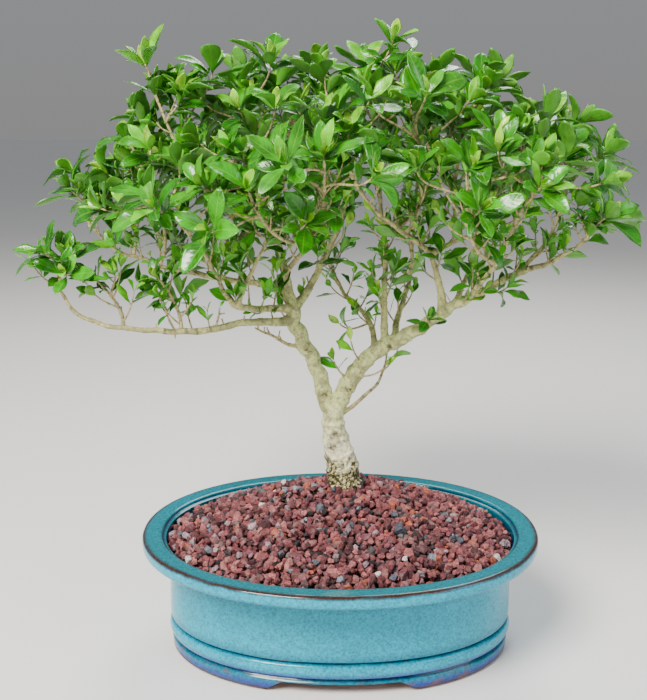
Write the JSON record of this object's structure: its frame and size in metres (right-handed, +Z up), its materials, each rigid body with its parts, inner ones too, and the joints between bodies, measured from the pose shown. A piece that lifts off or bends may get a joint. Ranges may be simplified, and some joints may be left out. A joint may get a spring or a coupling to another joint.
{
  "type": "potted gardenia",
  "caption": "Small clipped gardenia tree on two limbs, with glossy leaves, growing in an oval glazed bonsai pot on two long feet, topped with red lava stone.",
  "frame": {"origin": "on the table, under the middle of the whole plant's bounding box", "axes": "+Z up; +X along the oval pot, towards the long right limb; -Y is the front"},
  "size_m": [0.5132, 0.3614, 0.5484],
  "materials": {
    "turquoise_glaze": "glossy turquoise glaze with unglazed brown edges",
    "plastic_mesh": "black moulded mesh",
    "aluminium_wire": "drawn wire",
    "potting_mix": "moist crumbly bark and loam",
    "lava_stone": "matt, porous, brick red with grey and black pieces",
    "old_bark": "pale cream bark with grey patches",
    "young_bark": "pale yellow-green bark",
    "leaf": "glossy, veined, leathery leaf"
  },
  "bodies": {
    "root": {"pot": "turquoise_glaze", "left_drainage_screen": "plastic_mesh", "right_drainage_screen": "plastic_mesh", "left_screen_clip": "aluminium_wire", "right_screen_clip": "aluminium_wire", "potting_soil": "potting_mix", "lava_stone_bed": "lava_stone", "trunk": "old_bark", "left_limb": "young_bark", "right_limb": "young_bark", "low_left_branch": "young_bark", "far_left_branch": "young_bark", "front_left_branch": "young_bark", "inner_left_branch": "young_bark", "up_left_branch": "young_bark", "up_centre_branch": "young_bark", "left_stub": "young_bark", "up_mid_branch": "young_bark", "back_right_branch": "young_bark", "mid_back_branch": "young_bark", "back_left_branch": "young_bark", "up_right_branch": "young_bark", "inner_right_branch": "young_bark", "front_right_branch": "young_bark", "far_right_branch": "young_bark", "right_fork_branch": "young_bark", "front_centre_branch": "young_bark", "trunk_shoot": "young_bark", "spray_low_left_tip": "leaf", "spray_low_left_outer": "leaf", "spray_low_left_middle": "leaf", "spray_far_left_tip": "leaf", "spray_far_left_outer": "leaf", "spray_far_left_middle": "leaf", "spray_high_left": "leaf", "spray_back_left_tip": "leaf", "spray_back_left_inner": "leaf", "spray_front_left_tip": "leaf", "spray_inner_left_tip": "leaf", "spray_up_left_tip": "leaf", "spray_up_left_outer": "leaf", "spray_top_left_shoot": "leaf", "spray_up_centre_tip": "leaf", "spray_up_centre_left": "leaf", "spray_mid_back_tip": "leaf", "spray_up_mid_tip": "leaf", "spray_up_mid_right": "leaf", "spray_back_right_tip": "leaf", "spray_up_right_tip": "leaf", "spray_up_right_middle": "leaf", "spray_inner_right_tip": "leaf", "spray_inner_right_high": "leaf", "spray_right_fork_tip": "leaf", "spray_right_tip": "leaf", "spray_front_right_tip": "leaf", "spray_front_right_inner": "leaf", "spray_far_right_tip": "leaf", "spray_far_right_high": "leaf", "spray_front_centre_tip": "leaf", "spray_front_centre_left": "leaf"}
  },
  "joints": []
}
